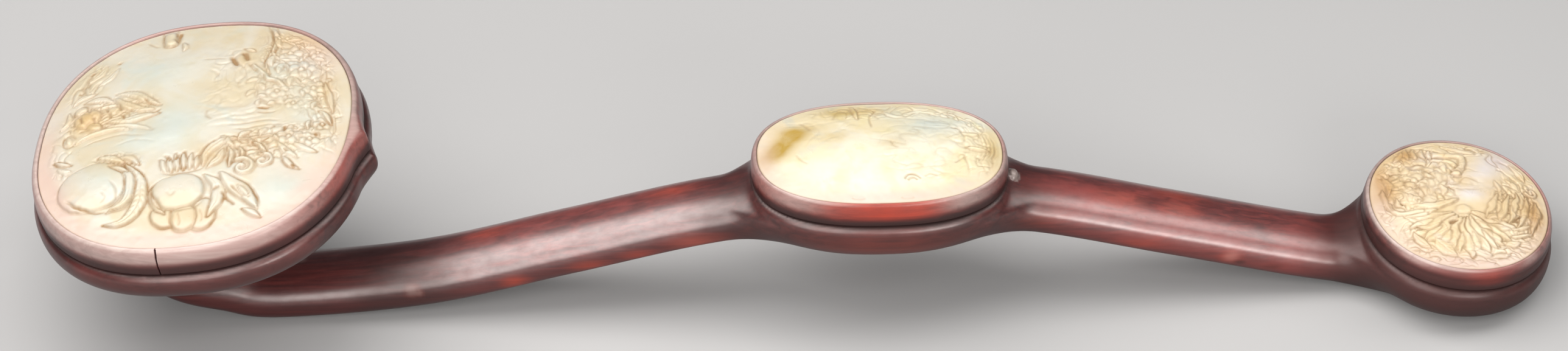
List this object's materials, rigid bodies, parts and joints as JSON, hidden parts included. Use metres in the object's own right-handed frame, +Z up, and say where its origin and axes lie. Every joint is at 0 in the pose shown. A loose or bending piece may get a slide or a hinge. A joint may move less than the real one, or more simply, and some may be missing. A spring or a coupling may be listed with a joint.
{
  "type": "ruyi scepter",
  "caption": "Curved hardwood scepter, a broad rounded head over a bent neck, an oval boss at the arch and a round tail, each holding a carved jade plaque in a raised bezel.",
  "frame": {"origin": "on the resting plane, under the middle of the scepter's length and width", "axes": "+X runs along the shaft from the head to the tail, +Z points up out of the faces, Y runs across"},
  "size_m": [0.5009, 0.12, 0.0804],
  "materials": {
    "hardwood": "satin",
    "jade": "polished"
  },
  "bodies": {
    "root": {"shaft": "hardwood", "head_bezel": "hardwood", "middle_bezel": "hardwood", "tail_bezel": "hardwood", "head_plaque": "jade", "middle_plaque": "jade", "tail_plaque": "jade"}
  },
  "joints": []
}
